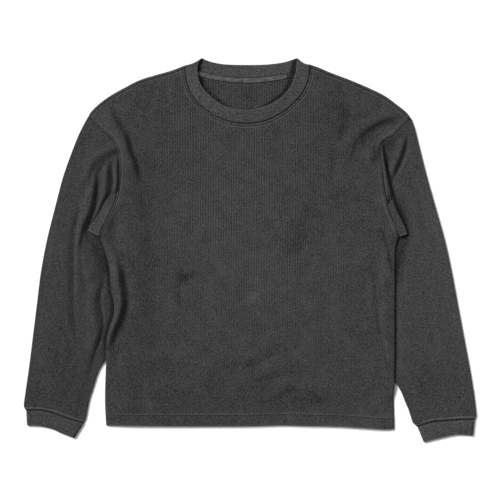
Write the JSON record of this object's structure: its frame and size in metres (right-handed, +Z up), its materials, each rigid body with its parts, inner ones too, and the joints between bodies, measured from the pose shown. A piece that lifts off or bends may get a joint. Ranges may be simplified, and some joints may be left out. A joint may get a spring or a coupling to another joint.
{
  "type": "thermal top",
  "caption": "Faded charcoal long-sleeved thermal top in rib knit, boxy with dropped shoulders, crew neck and rib cuffs, laid flat.",
  "frame": {"origin": "middle of the space that the laid-out top takes up, on the surface that it lies on", "axes": "+X towards the viewer's right across the garment, +Y from hem to neck, +Z up off the surface"},
  "size_m": [0.8306, 0.7065, 0.0138],
  "materials": {
    "knit": "matte",
    "rib": "matte",
    "tape": "matte"
  },
  "bodies": {
    "root": {"front_panel": "knit", "back_panel": "knit", "sleeve_left": "knit", "sleeve_right": "knit", "gusset_left": "rib", "gusset_right": "rib", "cuff_left": "rib", "cuff_right": "rib", "neckband": "rib", "neck_tape": "tape"}
  },
  "joints": []
}
